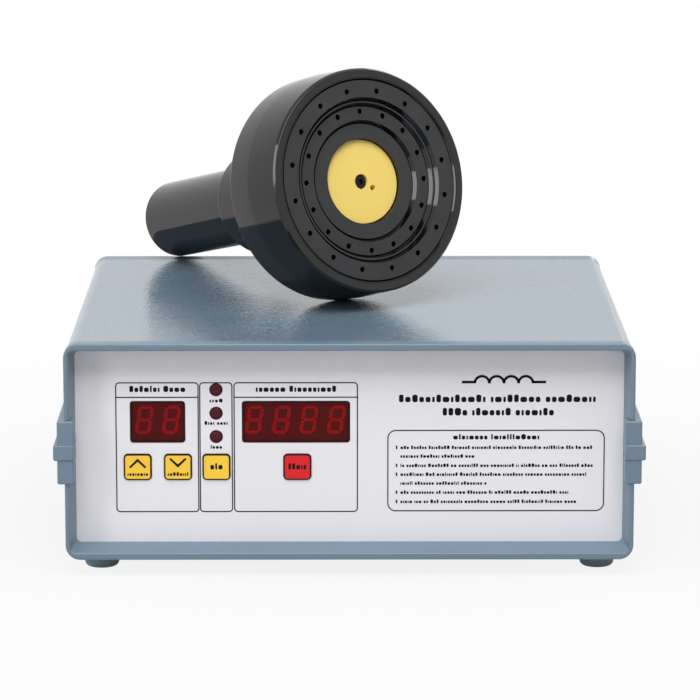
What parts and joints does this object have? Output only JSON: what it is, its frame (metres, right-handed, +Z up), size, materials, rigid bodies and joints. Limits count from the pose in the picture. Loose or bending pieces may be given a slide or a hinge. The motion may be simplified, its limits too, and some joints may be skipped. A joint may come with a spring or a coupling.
{
  "type": "induction cap sealer",
  "caption": "Bench induction sealer for foil-lined bottle caps: a blue-grey instrument case with a white keypad panel and a black round sealing head with a handle resting on its top.",
  "frame": {"origin": "middle of the whole footprint, on the table under the feet", "axes": "+Z up, -Y out of the keypad panel, +X to the right of someone facing the panel"},
  "size_m": [0.2908, 0.278, 0.2386],
  "materials": {
    "cover_plastic": "textured blue-grey",
    "bezel_plastic": "smooth satin blue-grey",
    "panel_paint": "white, printed",
    "red_filter": "dark red filter",
    "lamp_lens": "unlit red lens",
    "yellow_key": "yellow",
    "red_key": "red",
    "foot_rubber": "dark grey",
    "board_laminate": "green solder mask",
    "bright_steel": "plated",
    "sink_aluminium": "extruded",
    "copper_wire": "enamelled copper",
    "ferrite": "sintered grey",
    "former_plastic": "off-white",
    "head_plastic": "polished black",
    "disc_laminate": "satin yellow laminate",
    "black_plastic": "moulded black"
  },
  "bodies": {
    "case": {"top_cover": "cover_plastic", "bottom_cover": "cover_plastic", "front_bezel": "bezel_plastic", "rear_bezel": "bezel_plastic", "side_rail_left": "bezel_plastic", "side_rail_right": "bezel_plastic", "rail_screws": "bright_steel", "feet": "foot_rubber", "foot_screws": "bright_steel", "front_panel": "panel_paint", "time_window": "red_filter", "output_window": "red_filter", "time_display": "black_plastic", "output_display": "black_plastic", "lamp_top": "lamp_lens", "lamp_middle": "lamp_lens", "lamp_bottom": "lamp_lens", "control_board": "board_laminate", "key_switches": "black_plastic", "board_spacers": "bright_steel", "control_screws": "bright_steel", "rear_panel": "panel_paint", "fan_frame": "black_plastic", "fan_guard": "bright_steel", "fan_screws": "bright_steel", "mains_inlet": "black_plastic", "inlet_pins": "bright_steel", "inlet_screws": "bright_steel", "switch_body": "black_plastic", "fuse_holder": "black_plastic", "head_cable_gland": "black_plastic", "gland_nut": "black_plastic", "power_board": "board_laminate", "power_standoffs": "bright_steel", "power_screws": "bright_steel", "heat_sink": "sink_aluminium", "power_transistors": "black_plastic", "capacitors": "black_plastic", "rectifier": "black_plastic", "transformer_core": "ferrite", "transformer_winding": "copper_wire", "head_cup": "head_plastic", "face_plate": "head_plastic", "centre_disc": "disc_laminate", "centre_screw": "bright_steel", "work_coil": "copper_wire", "coil_former": "former_plastic", "ferrite_ring": "ferrite", "neck_collar": "head_plastic", "neck_screws": "bright_steel", "handle_tube": "head_plastic", "handle_plug": "head_plastic", "handle_grommet": "foot_rubber"},
    "increase_key": {"increase_key": "yellow_key"},
    "decrease_key": {"decrease_key": "yellow_key"},
    "set_key": {"set_key": "yellow_key"},
    "start_key": {"start_key": "red_key"},
    "fan_rotor": {"fan_rotor": "black_plastic"},
    "power_rocker": {"power_rocker": "black_plastic"},
    "fuse_cap": {"fuse_cap": "black_plastic"}
  },
  "joints": [
    {"name": "increase_press", "type": "slide", "parent": "case", "child": "increase_key", "axis": [0, 1, 0], "range_m": [0, 0.0006], "stiffness_N_per_m": 1500},
    {"name": "decrease_press", "type": "slide", "parent": "case", "child": "decrease_key", "axis": [0, 1, 0], "range_m": [0, 0.0006], "stiffness_N_per_m": 1500},
    {"name": "set_press", "type": "slide", "parent": "case", "child": "set_key", "axis": [0, 1, 0], "range_m": [0, 0.0006], "stiffness_N_per_m": 1500},
    {"name": "start_press", "type": "slide", "parent": "case", "child": "start_key", "axis": [0, 1, 0], "range_m": [0, 0.0006], "stiffness_N_per_m": 1500},
    {"name": "rocker_turn", "type": "hinge", "parent": "case", "child": "power_rocker", "pos_m": [-0.08, 0.10893, 0.0825], "axis": [1, 0, 0], "range_deg": [0, 24]},
    {"name": "fan_spin", "type": "hinge", "parent": "case", "child": "fan_rotor", "pos_m": [0.07, 0.09943, 0.06275], "axis": [0, 1, 0], "continuous": true},
    {"name": "fuse_cap_turn", "type": "hinge", "parent": "case", "child": "fuse_cap", "pos_m": [-0.042, 0.11293, 0.0825], "axis": [0, 1, 0], "range_deg": [0, 60]}
  ]
}
